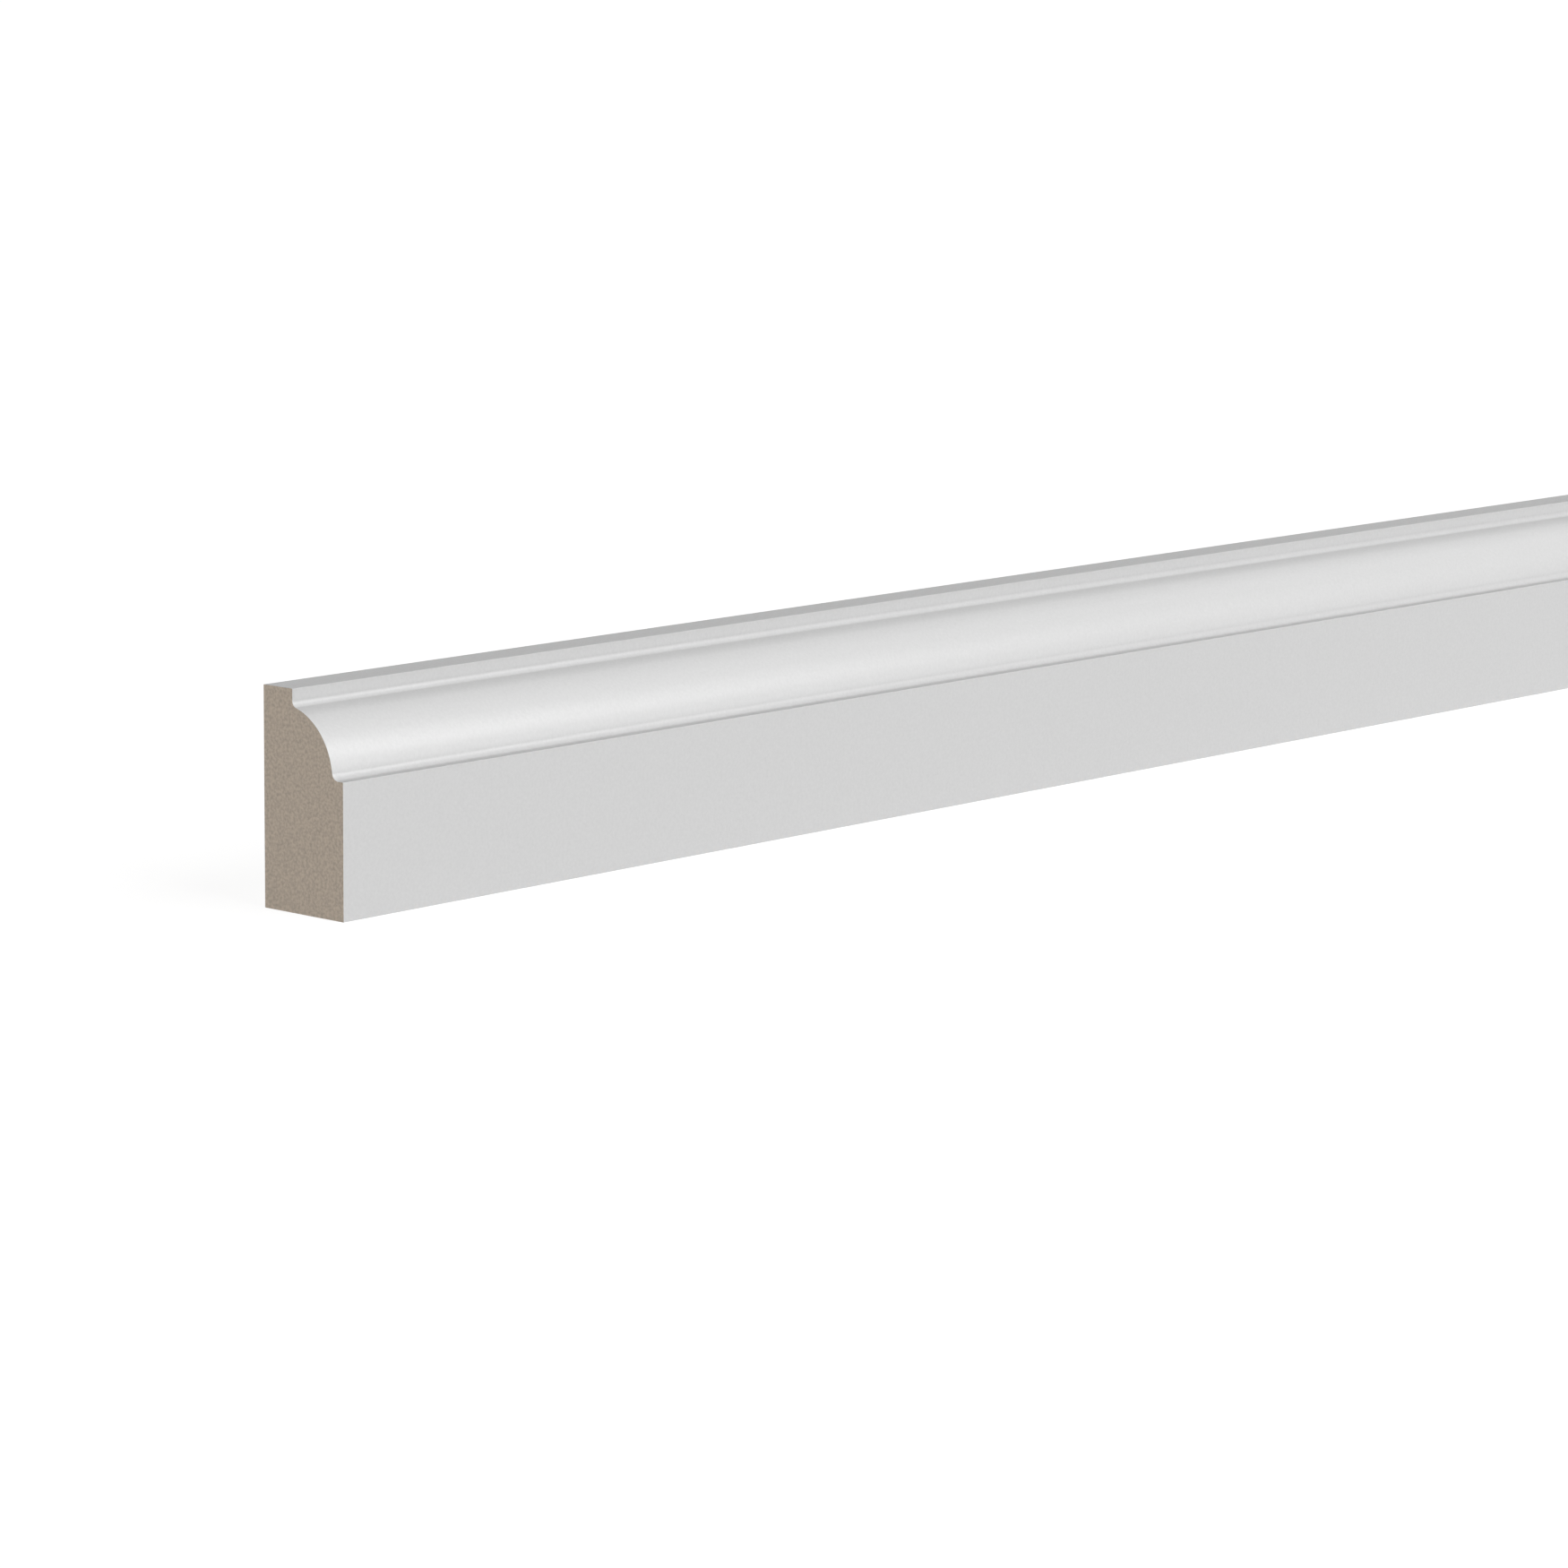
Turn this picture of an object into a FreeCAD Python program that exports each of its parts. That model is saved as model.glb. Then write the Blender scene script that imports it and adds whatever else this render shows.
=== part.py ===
# Decorative moulding, one straight length of primed MDF.
# The section is a rectangular board whose upper front corner has been moulded away.
# From the top down it shows a narrow lip, a small cove, a round ovolo, a second small cove,
# a short level step called the quirk, and then the plain upright face.
# Frame: X runs along the length, the moulded face looks to -Y, the flat back to +Y, Z is up.
# The origin is the middle of the underside. All sizes are in millimetres.
import FreeCAD, Part
import math
import os

from FreeCAD import Vector

# The board before it is moulded
board_length = 2400.0
board_thickness = 16.0
board_height = 32.0

# The moulded head, measured from the board's upper front corner
head_depth = 10.15
head_height = 12.15
lip_height = 2.5
quirk_width = 2.1

# The ovolo is centred this far below the step, so it leans back a little where it meets the quirk
ovolo_centre_drop = 0.15

# The coves that soften the two inner corners
upper_cove_radius = 1.0
lower_cove_radius = 1.2


def section_point(y, z):
    """A point of the section, in the plane of the left end."""
    return Vector(-board_length / 2, y, z)


def shorter_arc(centre, start, end):
    """The shorter arc about a centre, from one point to another."""
    half_way = (start - centre) + (end - centre)
    half_way.normalize()
    middle = centre + half_way * (start - centre).Length
    return Part.Arc(start, middle, end).toShape()


def ovolo_circle():
    """Centre and radius of the ovolo.

    Its circle passes through the foot of the lip and reaches furthest forward at the quirk.
    """
    front = -board_thickness / 2
    reach = head_depth - quirk_width
    centre_z = board_height - head_height - ovolo_centre_drop
    rise = board_height - lip_height - centre_z
    radius = (reach**2 + rise**2) / (2 * reach)
    return section_point(front + quirk_width + radius, centre_z), radius


def cove_centre_at_lip(ovolo_centre, ovolo_radius):
    """Centre of the cove that touches the upright lip and the ovolo."""
    y = -board_thickness / 2 + head_depth - upper_cove_radius
    between_centres = ovolo_radius + upper_cove_radius
    rise = math.sqrt(between_centres**2 - (ovolo_centre.y - y) ** 2)
    return section_point(y, ovolo_centre.z + rise)


def cove_centre_at_quirk(ovolo_centre, ovolo_radius):
    """Centre of the cove that touches the level quirk and the ovolo."""
    z = board_height - head_height + lower_cove_radius
    between_centres = ovolo_radius + lower_cove_radius
    reach = math.sqrt(between_centres**2 - (z - ovolo_centre.z) ** 2)
    return section_point(ovolo_centre.y - reach, z)


def moulding_section():
    """The outline of the moulding, as one closed face."""
    back = board_thickness / 2
    front = -board_thickness / 2
    lip = front + head_depth
    step = board_height - head_height

    ovolo_centre, ovolo_radius = ovolo_circle()
    upper_centre = cove_centre_at_lip(ovolo_centre, ovolo_radius)
    lower_centre = cove_centre_at_quirk(ovolo_centre, ovolo_radius)

    # The ovolo and each cove meet on the line between their centres
    towards_upper = (upper_centre - ovolo_centre).normalize()
    towards_lower = (lower_centre - ovolo_centre).normalize()
    ovolo_top = ovolo_centre + towards_upper * ovolo_radius
    ovolo_foot = ovolo_centre + towards_lower * ovolo_radius

    back_foot = section_point(back, 0)
    front_foot = section_point(front, 0)
    step_edge = section_point(front, step)
    quirk_end = section_point(lower_centre.y, step)
    lip_foot = section_point(lip, upper_centre.z)
    lip_edge = section_point(lip, board_height)
    back_top = section_point(back, board_height)

    edges = [
        Part.makeLine(back_foot, front_foot),
        Part.makeLine(front_foot, step_edge),
        Part.makeLine(step_edge, quirk_end),
        shorter_arc(lower_centre, quirk_end, ovolo_foot),
        shorter_arc(ovolo_centre, ovolo_foot, ovolo_top),
        shorter_arc(upper_centre, ovolo_top, lip_foot),
        Part.makeLine(lip_foot, lip_edge),
        Part.makeLine(lip_edge, back_top),
        Part.makeLine(back_top, back_foot),
    ]
    return Part.Face(Part.Wire(edges))


def make_moulding():
    """The whole length, sawn square at both ends."""
    return moulding_section().extrude(Vector(board_length, 0, 0))


os.makedirs("parts", exist_ok=True)
moulding = make_moulding()
moulding.exportStep("parts/moulding.step")

print("ovolo radius", round(ovolo_circle()[1], 3))
print("section area mm2", round(moulding_section().Area, 2))
print("volume cm3", round(moulding.Volume / 1000, 2), "valid", moulding.isValid())
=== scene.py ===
# %% [markdown]
# # A primed MDF moulding
# The real object is one straight length of MDF board. A spindle moulder has run a shaped cutter
# along its upper front corner, and a coating line has primed the front and the two edges white.
# The back stays raw, and so do the ends, because they were sawn after the primer had dried.
#
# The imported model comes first. It gives the true size, and nothing here may leave its box.

# %% Load the frame
import math

import bpy
from mathutils import Matrix, Vector


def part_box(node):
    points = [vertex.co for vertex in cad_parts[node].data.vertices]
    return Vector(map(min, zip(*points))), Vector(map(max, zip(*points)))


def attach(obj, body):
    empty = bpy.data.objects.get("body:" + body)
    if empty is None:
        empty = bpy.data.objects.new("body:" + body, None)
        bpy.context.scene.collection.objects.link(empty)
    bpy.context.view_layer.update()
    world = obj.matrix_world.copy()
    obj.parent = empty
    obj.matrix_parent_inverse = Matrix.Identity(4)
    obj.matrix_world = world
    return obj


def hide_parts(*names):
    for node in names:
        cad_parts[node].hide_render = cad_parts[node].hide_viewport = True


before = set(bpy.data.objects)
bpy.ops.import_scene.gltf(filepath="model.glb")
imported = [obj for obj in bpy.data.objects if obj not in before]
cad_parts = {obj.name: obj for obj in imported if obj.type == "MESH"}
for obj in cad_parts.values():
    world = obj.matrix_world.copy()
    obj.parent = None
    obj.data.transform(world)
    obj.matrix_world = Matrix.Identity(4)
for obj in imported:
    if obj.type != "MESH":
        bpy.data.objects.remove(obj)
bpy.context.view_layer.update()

MM = 0.001
low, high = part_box("moulding")
left_end, right_end = low.x, high.x
front, back = low.y, high.y
height = high.z
print("board, mm:", [round(side / MM, 2) for side in high - low])

# %% [markdown]
# ## The camera
# The photograph looks at the sawn left end and along the face. Its edges meet so far away that
# the lens is a long one, held a little above the moulding. The place and the turns below come
# from a camera that was fitted to the photographed edges. The fit is good without a shift of the
# lens, so none is used: the left edge only leans by two pixels.

# %% Camera
PHOTO_SIDE = 1750                    # pixels along each side of the photograph
FOCAL_LENGTH = 6187                  # in the same pixels
CAMERA_FROM_END = Vector((-528.4, -558.9, 150.0)) * MM
YAW, PITCH, ROLL = (math.radians(turn) for turn in (48.42, 9.68, 0.50))

lens = bpy.data.cameras.new("long_lens")
lens.lens = FOCAL_LENGTH / PHOTO_SIDE * lens.sensor_width
camera = bpy.data.objects.new("camera", lens)
bpy.context.scene.collection.objects.link(camera)
turned = Matrix.Rotation(-YAW, 3, "Z")
tipped = Matrix.Rotation(math.radians(90) - PITCH, 3, "X")
rolled = Matrix.Rotation(ROLL, 3, "Z")
camera.rotation_euler = (turned @ tipped @ rolled).to_euler()
camera.location = Vector((left_end, 0, 0)) + CAMERA_FROM_END
bpy.context.scene.camera = camera
print("lens, mm:", round(lens.lens, 1))

# %% [markdown]
# ## The section
# A moulding is one outline pushed along a straight line, so the outline is all that has to be
# drawn. It could be cut from a block with a Boolean, or bevelled with a custom profile. Drawing
# it point by point with extrude and spin is closer to how the cutter's knife is ground, and it
# makes the ovolo and the coves true arcs that meet without a kink.
#
# First come the sizes of the moulded head and the three circles that its curves follow.

# %% Sizes of the moulded head
land_width = 5.85 * MM               # the narrow top, from the lip to the back
step_height = 19.85 * MM             # from the underside to the level step
lip_height = 2.5 * MM
quirk_width = 2.1 * MM               # from the step's edge to the ovolo's furthest point
ovolo_centre_drop = 0.15 * MM        # the ovolo's centre lies this far below the step
upper_cove_radius = 1.0 * MM
lower_cove_radius = 1.2 * MM

lip = back - land_width
ovolo_front = front + quirk_width
reach = lip - ovolo_front
centre_z = step_height - ovolo_centre_drop
rise = height - lip_height - centre_z
ovolo_radius = (reach**2 + rise**2) / (2 * reach)
ovolo_centre = Vector((left_end, ovolo_front + ovolo_radius, centre_z))
print("ovolo radius, mm:", round(ovolo_radius / MM, 3))

upper_y = lip - upper_cove_radius
upper_rise = math.sqrt((ovolo_radius + upper_cove_radius) ** 2 - (ovolo_centre.y - upper_y) ** 2)
upper_cove_centre = Vector((left_end, upper_y, centre_z + upper_rise))

lower_z = step_height + lower_cove_radius
lower_reach = math.sqrt((ovolo_radius + lower_cove_radius) ** 2 - (lower_z - centre_z) ** 2)
lower_cove_centre = Vector((left_end, ovolo_centre.y - lower_reach, lower_z))

# %% [markdown]
# The drawing starts from a plane of the board's own section, standing where the sawn end is.
# Deleting its upper front corner leaves the back and the underside as two loose edges. The pen
# then goes on from the foot of the front face: up to the step, back along it, round the small
# cove, over the ovolo, round the other cove, up the lip and back to where it began.

# %% Helpers for drawing with one vertex
edit_mesh = bpy.ops.mesh


def select_vertices(piece, wanted):
    """Selects the vertices that the test takes, and nothing else. The piece is in edit mode."""
    edit_mesh.select_all(action="DESELECT")
    bpy.ops.object.mode_set(mode="OBJECT")
    for vertex in piece.data.vertices:
        vertex.select = wanted(vertex.co)
    bpy.ops.object.mode_set(mode="EDIT")


def draw_line(y, z):
    """Extrudes the selected vertex by a step along Y and Z."""
    edit_mesh.extrude_region_move(TRANSFORM_OT_translate={"value": (0, y, z)})


def draw_arc(centre, start, end, steps):
    """Spins the selected vertex, which is at start, about a centre until it faces the end point."""
    from_angle = math.atan2(start.z - centre.z, start.y - centre.y)
    to_angle = math.atan2(end.z - centre.z, end.y - centre.y)
    turn = (to_angle - from_angle + math.pi) % (2 * math.pi) - math.pi
    # A spin turns clockwise about its axis, so the turn from Y towards Z has its sign changed
    edit_mesh.spin(steps=steps, angle=-turn, center=centre, axis=(1, 0, 0))
    print("arc of", round(math.degrees(turn), 1), "degrees in", steps, "steps")


# %% Draw the outline on the sawn end
bpy.ops.object.select_all(action="DESELECT")
edit_mesh.primitive_plane_add(
    size=1, location=(left_end, (front + back) / 2, height / 2), rotation=(0, math.radians(-90), 0)
)
moulding = bpy.context.object
moulding.name = "moulding_primed"
moulding.scale = (height, back - front, 1)
bpy.ops.object.transform_apply(location=True, rotation=True, scale=True)

bpy.ops.object.mode_set(mode="EDIT")
edit_mesh.select_mode(type="VERT")
select_vertices(moulding, lambda co: co.y < 0 and co.z > height / 2)
edit_mesh.delete(type="VERT")

select_vertices(moulding, lambda co: co.y < 0 and co.z < height / 2)
draw_line(0, step_height)
draw_line(lower_cove_centre.y - front, 0)
quirk_end = Vector((left_end, lower_cove_centre.y, step_height))
draw_arc(lower_cove_centre, quirk_end, ovolo_centre, steps=16)

towards_lower = (lower_cove_centre - ovolo_centre).normalized()
ovolo_foot = ovolo_centre + towards_lower * ovolo_radius
draw_arc(ovolo_centre, ovolo_foot, upper_cove_centre, steps=48)

towards_upper = (upper_cove_centre - ovolo_centre).normalized()
ovolo_top = ovolo_centre + towards_upper * ovolo_radius
lip_foot = Vector((left_end, lip, upper_cove_centre.z))
draw_arc(upper_cove_centre, ovolo_top, lip_foot, steps=14)

draw_line(0, height - lip_foot.z)
draw_line(back - lip, 0)
edit_mesh.select_all(action="SELECT")
edit_mesh.remove_doubles(threshold=0.001 * MM)
edit_mesh.edge_face_add()

# %% [markdown]
# ## The length
# One extrude makes the whole board. Its long arrises are then eased by a twentieth of a
# millimetre, which is what a coat of primer leaves of a sharp edge, so that they catch the light
# as a real edge does. The sawn ends keep the sharp edges that the saw left.

# %% Push the outline along the length and ease the arrises
arris = 0.05 * MM
edit_mesh.extrude_region_move(TRANSFORM_OT_translate={"value": (right_end - left_end, 0, 0)})
edit_mesh.select_all(action="SELECT")
edit_mesh.normals_make_consistent(inside=False)
bpy.ops.object.mode_set(mode="OBJECT")


def select_edges(piece, wanted):
    """Selects the edges that the test takes, and leaves the piece in edit mode."""
    bpy.ops.object.mode_set(mode="EDIT")
    edit_mesh.select_mode(type="EDGE")
    edit_mesh.select_all(action="DESELECT")
    bpy.ops.object.mode_set(mode="OBJECT")
    for edge in piece.data.edges:
        ends = [piece.data.vertices[i].co for i in edge.vertices]
        edge.select = wanted(*ends)
    bpy.ops.object.mode_set(mode="EDIT")


def is_arris(a, b):
    """True for a long edge at one of the section's five outer corners."""
    corners = [(front, 0), (front, step_height), (lip, height), (back, height), (back, 0)]
    runs_along = abs(a.x - b.x) > MM
    return runs_along and any(math.hypot(a.y - y, a.z - z) < 0.01 * MM for y, z in corners)


select_edges(moulding, is_arris)
edit_mesh.bevel(offset=arris, offset_type="OFFSET", segments=2, affect="EDGES")
bpy.ops.object.mode_set(mode="OBJECT")
print("faces:", len(moulding.data.polygons))

# %% [markdown]
# The arcs are many narrow flats, so the piece is shaded smooth, and only edges sharper than
# thirty degrees stay crisp. A weighted-normal modifier keeps the wide faces truly flat, because
# a vertex that a flat face shares with an arc then takes its direction from the flat face.

# %% Smooth shading
bpy.ops.object.select_all(action="DESELECT")
moulding.select_set(True)
bpy.context.view_layer.objects.active = moulding
bpy.ops.object.shade_smooth_by_angle(angle=math.radians(30))
weighted = moulding.modifiers.new("weighted", "WEIGHTED_NORMAL")
weighted.keep_sharp = True
bpy.ops.object.modifier_apply(modifier=weighted.name)

# %% [markdown]
# ## Materials
# Each finish is a small network of nodes on a Principled shader. Two helpers keep that short:
# one turns a colour as a paint chart gives it into linear light, and one adds a node with its
# settings and links. Patterns are laid out in the object's own metres, so a scale is simply one
# divided by the real size of a spot.

# %% Helpers for materials


def linear(chart):
    """A hex colour such as 8A7F70, in linear light."""
    shares = [int(chart[i : i + 2], 16) / 255 for i in (0, 2, 4)]
    light = [s / 12.92 if s <= 0.04045 else ((s + 0.055) / 1.055) ** 2.4 for s in shares]
    return (*light, 1)


def add_node(tree, kind, inputs=None, **settings):
    """Adds a node with its settings. Each input is given a value, or another node's output."""
    node = tree.nodes.new(kind)
    for name, value in settings.items():
        setattr(node, name, value)
    for socket, value in (inputs or {}).items():
        if isinstance(value, bpy.types.NodeSocket):
            tree.links.new(value, node.inputs[socket])
        else:
            node.inputs[socket].default_value = value
    return node


def new_material(name):
    """An empty material, its node tree and its output node."""
    material = bpy.data.materials.new(name)
    material.use_nodes = True
    material.node_tree.nodes.clear()
    return material, material.node_tree, add_node(material.node_tree, "ShaderNodeOutputMaterial")


# %% [markdown]
# ### Satin primer
# The primer is a water-based acrylic, sprayed from the front as the board runs past and dried by
# heat. The face takes a full coat and dries to a soft sheen. Level faces dry flatter. On top of
# the primer's own colour, a painted shade darkens it towards a duller grey in three places: on
# level faces, in the two coves, and towards the lip, which lies furthest behind the face.
#
# This painted shade could be laid on as a mask. Here it follows the shape. The way a face looks
# tells what is level, ambient occlusion finds the coves, and the object's own Y gives the depth.
# Where two of them meet, the stronger one counts.

# %% Satin primer: where painted shade darkens it
SHADE_REACH = 1.6 * MM                    # how far from an inner corner the painted shade reaches
SHADE_ON_LEVEL, SHADE_AT_LIP = 0.8, 0.3          # painted shade there, from 0, the full coat's colour, to 1, a duller grey
SHADE_WHEN_BURIED = 4.2                         # painted shade where nothing is open, so corners get a part of it

primer, tree, output = new_material("satin_acrylic_primer_sprayed")
own = add_node(tree, "ShaderNodeTexCoord").outputs
upward = add_node(tree, "ShaderNodeSeparateXYZ", {"Vector": own["Normal"]}).outputs["Z"]
# Painted shade on faces that look up
level = add_node(
    tree,
    "ShaderNodeMapRange",
    {"Value": upward, "From Min": 0.8, "From Max": 1.0, "To Max": SHADE_ON_LEVEL},
    interpolation_type="SMOOTHSTEP",
)
# Painted shade in the coves, found by ambient occlusion
openness = add_node(
    tree, "ShaderNodeAmbientOcclusion", {"Distance": SHADE_REACH}, samples=16, only_local=True
)
corner_shade = add_node(
    tree, "ShaderNodeMapRange", {"Value": openness.outputs["AO"], "To Min": SHADE_WHEN_BURIED, "To Max": 0}
)
depth = add_node(tree, "ShaderNodeSeparateXYZ", {"Vector": own["Object"]}).outputs["Y"]
# Painted shade that grows from the face towards the lip
lip_shade = add_node(
    tree,
    "ShaderNodeMapRange",
    {"Value": depth, "From Min": front, "From Max": lip, "To Max": SHADE_AT_LIP},
)
# The stronger of the painted shades counts
recess_shade = add_node(
    tree, "ShaderNodeMath", {0: corner_shade.outputs[0], 1: lip_shade.outputs[0]}, operation="MAXIMUM"
)
painted_shade = add_node(
    tree, "ShaderNodeMath", {0: level.outputs[0], 1: recess_shade.outputs[0]}, operation="MAXIMUM"
)
print("primer: thinned within", round(SHADE_REACH / MM, 1), "mm of an inner corner")

# %% [markdown]
# The colour runs from the pale grey-white of a full coat to a duller grey. That grey is a thin
# coat's colour, and it also carries the painted shade. Fibres of the board stand up under the paint
# and are coated thinner than the hollows between them, so they shift the colour too. One ramp
# between two colours is easier to tune than two mixed paints.

# %% Satin primer: its colour
FULL_COAT, THIN_COAT_AND_SHADE = linear("D5D5D5"), linear("B6B6B6")
GRAIN = 0.45 * MM                    # size of the raised fibres
ON_FIBRES = 0.2                      # how much thinner the coat is on them

grain = add_node(
    tree, "ShaderNodeTexNoise", {"Vector": own["Object"], "Scale": 1 / GRAIN, "Detail": 1.0}
)
fibres = add_node(
    tree, "ShaderNodeMapRange", {"Value": grain.outputs["Fac"], "From Min": 0.2, "From Max": 0.8}
)
# The fibres' own thinner coat, with the painted shade added
fibres_and_shade = add_node(
    tree,
    "ShaderNodeMath",
    {0: fibres.outputs[0], 1: ON_FIBRES, 2: painted_shade.outputs[0]},
    operation="MULTIPLY_ADD",
    use_clamp=True,
)
# The ramp's grey end carries the painted shade as well as the fibres' thin coat
coat = add_node(tree, "ShaderNodeValToRGB", {"Fac": fibres_and_shade.outputs[0]})
coat.color_ramp.elements[0].color = FULL_COAT
coat.color_ramp.elements[1].color = THIN_COAT_AND_SHADE
print("primer: fibres of", round(GRAIN / MM, 2), "mm")

# %% [markdown]
# Close by there is a faint orange peel about a millimetre across, and the finer grain of fibres
# that stand up under the paint. Both are only microns high, so they are bumps. The grain is
# drawn about twice as coarse as it is, so that it shows. Level faces dry flatter, so their
# roughness climbs with the upright part of their direction.

# %% Satin primer: its surface
SATIN, FLAT = 0.28, 0.85             # roughness
ORANGE_PEEL = 1.2 * MM
PEEL_HEIGHT, GRAIN_HEIGHT = 0.02 * MM, 0.013 * MM

dryness = add_node(
    tree,
    "ShaderNodeMapRange",
    {"Value": upward, "From Min": 0.6, "From Max": 1.0, "To Min": SATIN, "To Max": FLAT},
    interpolation_type="SMOOTHSTEP",
)
peel = add_node(
    tree, "ShaderNodeTexNoise", {"Vector": own["Object"], "Scale": 1 / ORANGE_PEEL, "Detail": 1.0}
)
peel_bump = add_node(
    tree, "ShaderNodeBump", {"Height": peel.outputs["Fac"], "Distance": PEEL_HEIGHT}
)
grain_bump = add_node(
    tree,
    "ShaderNodeBump",
    {
        "Height": grain.outputs["Fac"],
        "Distance": GRAIN_HEIGHT,
        "Normal": peel_bump.outputs["Normal"],
    },
)
shader = add_node(
    tree,
    "ShaderNodeBsdfPrincipled",
    {
        "Base Color": coat.outputs["Color"],
        "Roughness": dryness.outputs[0],
        "IOR": 1.5,
        "Normal": grain_bump.outputs["Normal"],
    },
)
tree.links.new(shader.outputs["BSDF"], output.inputs["Surface"])
print("primer: roughness", SATIN, "where upright and", FLAT, "where level")

# %% [markdown]
# ### Raw MDF
# MDF is wood ground to fibres and pressed with resin. A saw cut shows it as a dull grey-brown
# felt, with specks under half a millimetre across and no direction of grain. Wood grain would
# need rings stretched along the board. Here one fine noise between two near colours is enough,
# and the same noise raises the felt by a hundredth of a millimetre.

# %% Raw MDF, sawn
MDF_PALE, MDF_DARK = linear("B4A697"), linear("999084")
FIBRE = 0.42 * MM
FELT_HEIGHT = 0.01 * MM


def add_fibres(tree, place, size, dark, pale):
    """A speckle of two colours, with spots of the given size and finer ones on them."""
    spots = add_node(
        tree, "ShaderNodeTexNoise", {"Vector": place, "Scale": 1 / size, "Detail": 3.0}
    )
    colour = add_node(tree, "ShaderNodeValToRGB", {"Fac": spots.outputs["Fac"]})
    for stop, position, shade in zip(colour.color_ramp.elements, (0.28, 0.64), (dark, pale)):
        stop.position = position
        stop.color = shade
    print("speckle of", round(size / MM, 2), "mm")
    return colour.outputs["Color"], spots.outputs["Fac"]


sawn_mdf, tree, output = new_material("raw_mdf_sawn")
place = add_node(tree, "ShaderNodeTexCoord").outputs["Object"]
speckle, relief = add_fibres(tree, place, FIBRE, MDF_DARK, MDF_PALE)
felt = add_node(tree, "ShaderNodeBump", {"Height": relief, "Distance": FELT_HEIGHT})
shader = add_node(
    tree,
    "ShaderNodeBsdfPrincipled",
    {
        "Base Color": speckle,
        "Roughness": 0.9,
        "Specular IOR Level": 0.2,
        "Normal": felt.outputs["Normal"],
    },
)
tree.links.new(shader.outputs["BSDF"], output.inputs["Surface"])

# %% [markdown]
# The back is the board's own pressed and sanded skin: finer, paler and tighter than a saw cut.
# The spray that primes the top and the underside drifts a millimetre or two round both long
# edges and settles as a mist, so the back carries a soft ragged rim. A hand-painted mask could
# draw it. Here the distance to the nearer long edge is read from the height, and a noise roughens
# that distance before it mixes the colours of the skin and of a thin coat.

# %% Raw MDF, sanded, with overspray along its edges
SKIN_PALE, SKIN_DARK = linear("BDB0A0"), linear("A89C8E")
SKIN_FIBRE = 0.3 * MM
SKIN_HEIGHT = 0.005 * MM
OVERSPRAY = 1.4 * MM                 # how far it drifts over the back, on average
PUFF = 5 * MM                        # length of its ragged puffs

sanded_mdf, tree, output = new_material("raw_mdf_sanded_with_overspray")
place = add_node(tree, "ShaderNodeTexCoord").outputs["Object"]
skin, relief = add_fibres(tree, place, SKIN_FIBRE, SKIN_DARK, SKIN_PALE)
above_floor = add_node(tree, "ShaderNodeSeparateXYZ", {"Vector": place}).outputs["Z"]
from_middle = add_node(
    tree, "ShaderNodeMath", {0: above_floor, 1: height / 2}, operation="SUBTRACT"
)
off_middle = add_node(tree, "ShaderNodeMath", {0: from_middle.outputs[0]}, operation="ABSOLUTE")
drift = add_node(
    tree,
    "ShaderNodeTexNoise",
    {"Vector": place, "Scale": 1 / PUFF, "Detail": 5.0, "Roughness": 0.7},
)
reach_of_spray = add_node(
    tree,
    "ShaderNodeMapRange",
    {
        "Value": drift.outputs["Fac"],
        "From Min": 0.3,
        "From Max": 0.7,
        "To Min": height / 2 - 2 * OVERSPRAY,
        "To Max": height / 2,
    },
)
past = add_node(
    tree,
    "ShaderNodeMath",
    {0: off_middle.outputs[0], 1: reach_of_spray.outputs[0]},
    operation="SUBTRACT",
)
sprayed = add_node(
    tree,
    "ShaderNodeMapRange",
    {"Value": past.outputs[0], "From Min": -1.2 * MM, "From Max": 1.8 * MM, "To Max": 0.85},
    interpolation_type="SMOOTHSTEP",
)
# A Mix node has sockets for each kind of data. Its two colours are 6 and 7, and their mix is 2
# On the back this grey is only the real mist of overspray. No shade is painted here
misted = add_node(
    tree, "ShaderNodeMix", {0: sprayed.outputs[0], 6: skin, 7: THIN_COAT_AND_SHADE}, data_type="RGBA"
)
felt = add_node(tree, "ShaderNodeBump", {"Height": relief, "Distance": SKIN_HEIGHT})
shader = add_node(
    tree,
    "ShaderNodeBsdfPrincipled",
    {
        "Base Color": misted.outputs[2],
        "Roughness": 0.8,
        "Specular IOR Level": 0.3,
        "Normal": felt.outputs["Normal"],
    },
)
tree.links.new(shader.outputs["BSDF"], output.inputs["Surface"])
print("overspray, mm:", round(OVERSPRAY / MM, 2), "on average from each long edge")

# %% [markdown]
# ### Which face has which finish
# The finishes are given in edit mode: the faces are selected by the way they look, and the
# active material slot is assigned to them.

# %% Give the faces their finishes
for material in (primer, sawn_mdf, sanded_mdf):
    moulding.data.materials.append(material)


def finish_faces(piece, slot, wanted):
    """Gives a material slot to the faces whose direction passes the test."""
    bpy.ops.object.mode_set(mode="EDIT")
    edit_mesh.select_mode(type="FACE")
    edit_mesh.select_all(action="DESELECT")
    bpy.ops.object.mode_set(mode="OBJECT")
    for face in piece.data.polygons:
        face.select = wanted(face.normal)
    bpy.ops.object.mode_set(mode="EDIT")
    piece.active_material_index = slot
    bpy.ops.object.material_slot_assign()
    bpy.ops.object.mode_set(mode="OBJECT")
    finished = sum(face.material_index == slot for face in piece.data.polygons)
    print(piece.data.materials[slot].name, "on", finished, "faces")


finish_faces(moulding, 1, lambda normal: abs(normal.x) > 0.9)
finish_faces(moulding, 2, lambda normal: normal.y > 0.9)

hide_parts("moulding")
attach(moulding, "root")

# %% [markdown]
# ## Floor and light
# The photograph has a white ground and no visible floor. Here a pale floor carries the moulding.
# More light would turn it white, but would bleach the primer too. So the floor glows, for the
# camera and for mirror images alone, and only the moulding's soft shadow is left on it. Far away
# the lamps no longer reach the floor, so the glow grows a little with the distance. The paper
# under the glow is grey, so that it throws little light up at the front of the moulding.

# %% Helper for the floor and the world


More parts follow.
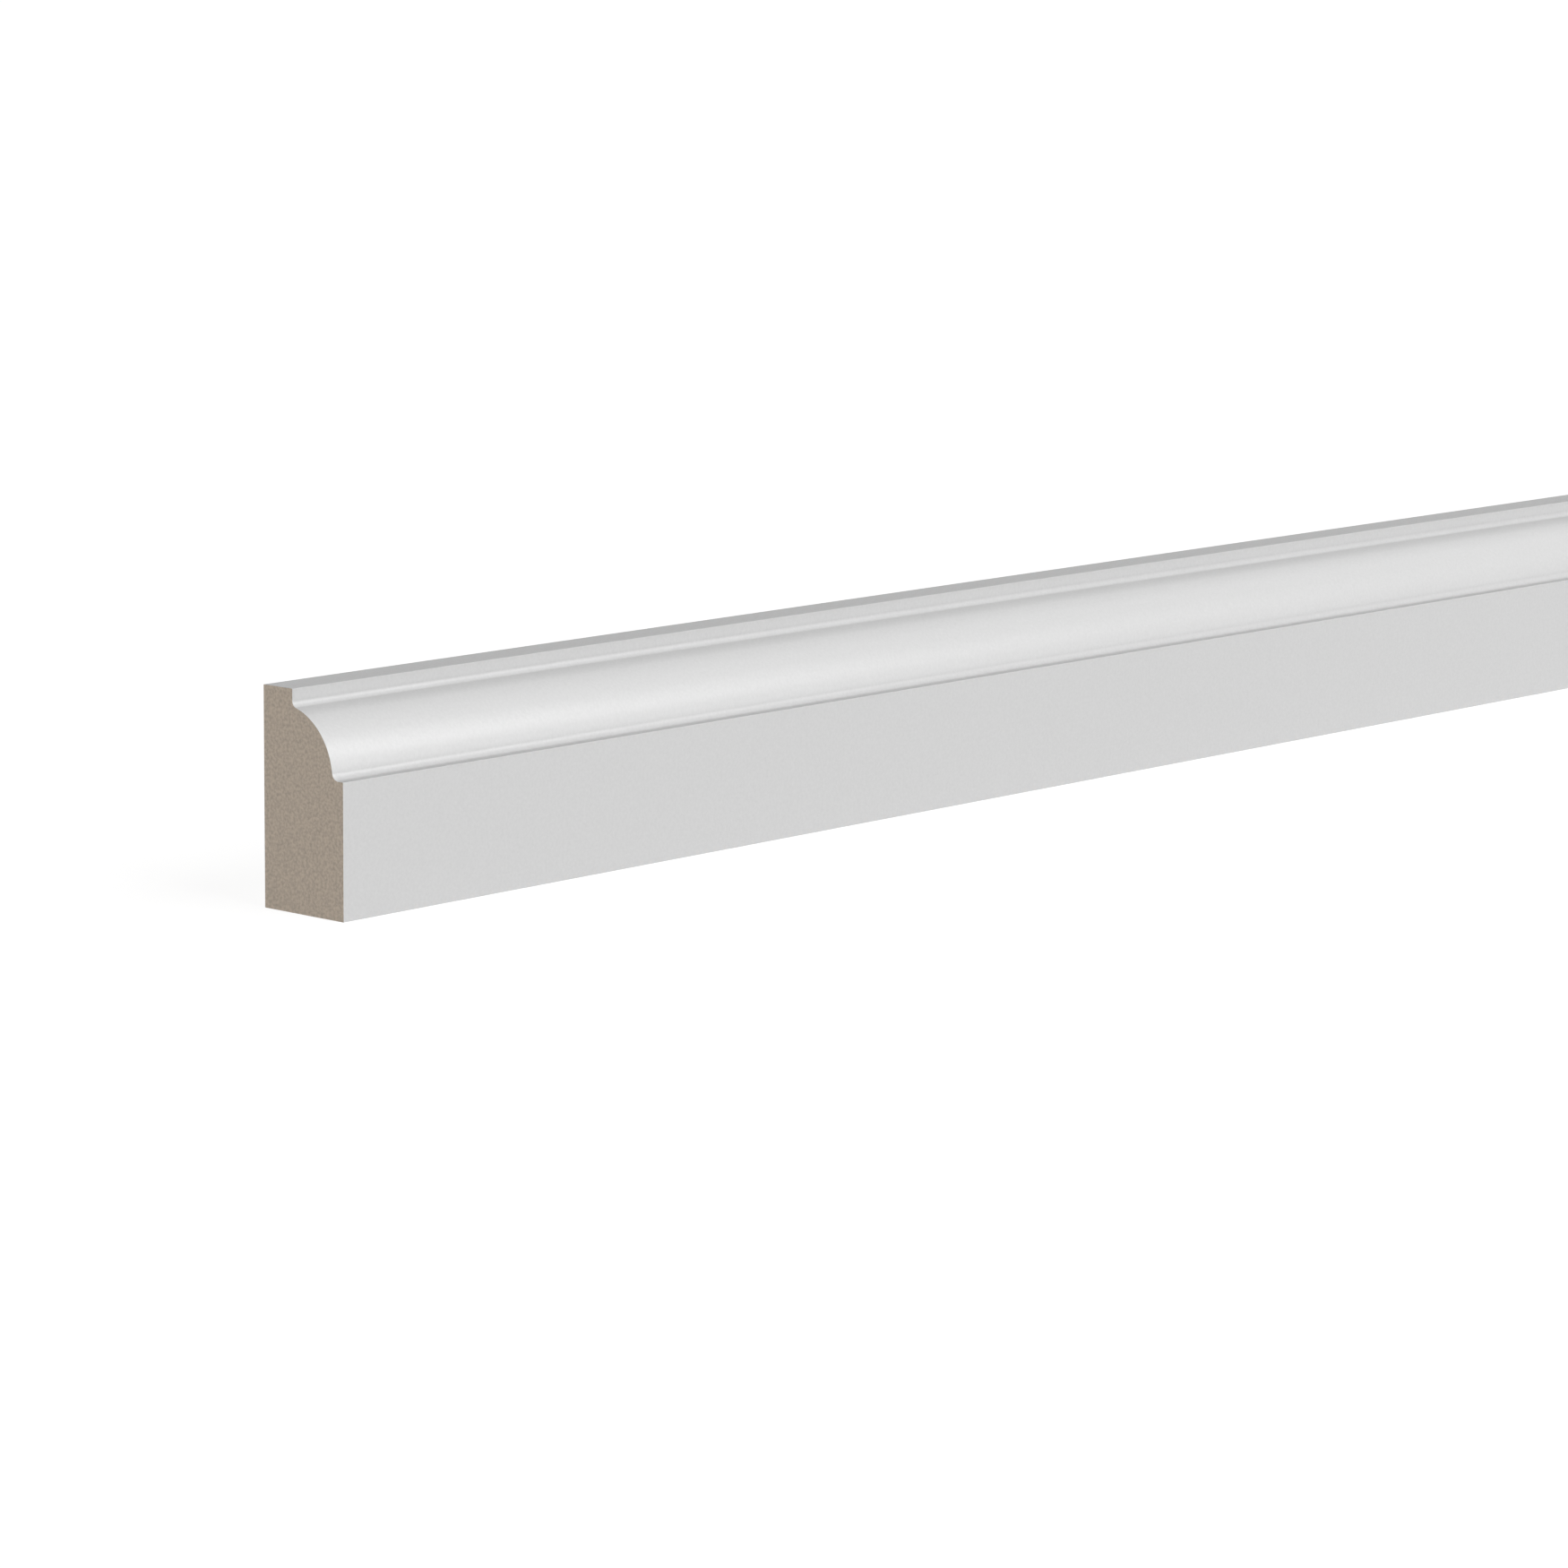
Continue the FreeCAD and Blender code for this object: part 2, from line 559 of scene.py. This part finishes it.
def seen_directly(tree):
    """One for rays of the camera and of mirror and glass images, and nought for soft light."""
    path = add_node(tree, "ShaderNodeLightPath").outputs
    camera_or_mirror = add_node(
        tree,
        "ShaderNodeMath",
        {0: path["Is Camera Ray"], 1: path["Is Glossy Ray"]},
        operation="MAXIMUM",
    )
    return add_node(
        tree,
        "ShaderNodeMath",
        {0: camera_or_mirror.outputs[0], 1: path["Is Transmission Ray"]},
        operation="MAXIMUM",
    ).outputs[0]


# %% Floor
FLOOR_SIDE = 200
NEAR, FAR = 1, 6                     # metres from the moulding's middle
GLOW_NEAR, GLOW_FAR = 0.88, 1.0
PAPER = linear("7C7C7C")

edit_mesh.primitive_plane_add(size=FLOOR_SIDE, location=(0, 0, 0))
floor = bpy.context.object
floor.name = "floor"

paper, tree, output = new_material("white_paper_matt")
shader = add_node(tree, "ShaderNodeBsdfDiffuse", {"Color": PAPER})
spot = add_node(tree, "ShaderNodeTexCoord").outputs["Object"]
away = add_node(tree, "ShaderNodeVectorMath", {0: spot}, operation="LENGTH").outputs["Value"]
glow_there = add_node(
    tree,
    "ShaderNodeMapRange",
    {"Value": away, "From Min": NEAR, "From Max": FAR, "To Min": GLOW_NEAR, "To Max": GLOW_FAR},
)
lift = add_node(
    tree,
    "ShaderNodeMath",
    {0: seen_directly(tree), 1: glow_there.outputs[0]},
    operation="MULTIPLY",
)
glow = add_node(tree, "ShaderNodeEmission", {"Strength": lift.outputs[0]})
both = add_node(tree, "ShaderNodeAddShader", {0: shader.outputs[0], 1: glow.outputs[0]})
tree.links.new(both.outputs[0], output.inputs["Surface"])
floor.data.materials.append(paper)
print("floor, m:", FLOOR_SIDE)

# %% [markdown]
# ### The lamps
# A softbox is an area lamp, and its width in degrees sets how soft the light falls. The key hangs
# in front and above, and draws the broad highlight along the ovolo. A lower one fills the face.
# Two at the sides light the sawn ends, and a weak sun stands in for a window behind the back.
# The key, the low and the left lamp were set against the shades of the photograph. The other two
# hardly show there, so they were set for the views from the right and from behind.

# %% Helpers for lamps


def towards(azimuth, elevation):
    """The direction to a lamp. Azimuth 0 is in front, and it grows to the right."""
    a, e = math.radians(azimuth), math.radians(elevation)
    return Vector((math.sin(a) * math.cos(e), -math.cos(a) * math.cos(e), math.sin(e)))


def add_lamp(name, kind, direction, distance=5.0):
    """A lamp that shines at the photographed end from a direction."""
    lamp = bpy.data.objects.new(name, bpy.data.lights.new(name, kind))
    bpy.context.scene.collection.objects.link(lamp)
    lamp.location = Vector((left_end, 0, height / 2)) + direction * distance
    lamp.rotation_euler = direction.to_track_quat("Z", "Y").to_euler()
    lamp.visible_camera = False
    return lamp


def add_softbox(name, azimuth, elevation, width, height_across, radiance, distance=6.0):
    """A flat soft light. Its size is given in degrees, as the moulding sees it."""
    lamp = add_lamp(name, "AREA", towards(azimuth, elevation), distance)
    lamp.data.shape = "RECTANGLE"
    lamp.data.size = 2 * distance * math.tan(math.radians(width / 2))
    lamp.data.size_y = 2 * distance * math.tan(math.radians(height_across / 2))
    lamp.data.energy = radiance * math.pi * lamp.data.size * lamp.data.size_y


def add_sun(name, azimuth, elevation, spread, strength):
    """A distant light, as wide as the spread in degrees."""
    lamp = add_lamp(name, "SUN", towards(azimuth, elevation))
    lamp.data.angle = math.radians(spread)
    lamp.data.energy = strength


# %% Lamps
add_softbox("key_softbox", azimuth=20, elevation=38, width=58, height_across=40, radiance=3.45)
add_softbox("low_softbox", azimuth=20, elevation=20, width=58, height_across=36, radiance=1.8)
add_softbox("left_softbox", azimuth=-86, elevation=8, width=40, height_across=30, radiance=6.2)
add_softbox("right_softbox", azimuth=100, elevation=8, width=30, height_across=30, radiance=2.5)
add_sun("back_sun", azimuth=-165, elevation=9, spread=20, strength=2.4)
print("lamps:", [lamp.name for lamp in bpy.data.lights])

# %% [markdown]
# The world does for the light what the floor does for the ground: it is white where it is looked
# at, and gives the moulding only a trace of light, which keeps the deepest corners from black.

# %% World
AMBIENT = 0.02
world = bpy.data.worlds.new("white_studio")
bpy.context.scene.world = world
world.use_nodes = True
tree = world.node_tree
tree.nodes.clear()
output = add_node(tree, "ShaderNodeOutputWorld")
brightness = add_node(
    tree, "ShaderNodeMapRange", {"Value": seen_directly(tree), "To Min": AMBIENT, "To Max": 1.0}
)
sky = add_node(tree, "ShaderNodeBackground", {"Strength": brightness.outputs[0]})
tree.links.new(sky.outputs[0], output.inputs["Surface"])

bpy.context.scene.view_settings.view_transform = "Standard"
print("view:", bpy.context.scene.view_settings.view_transform)
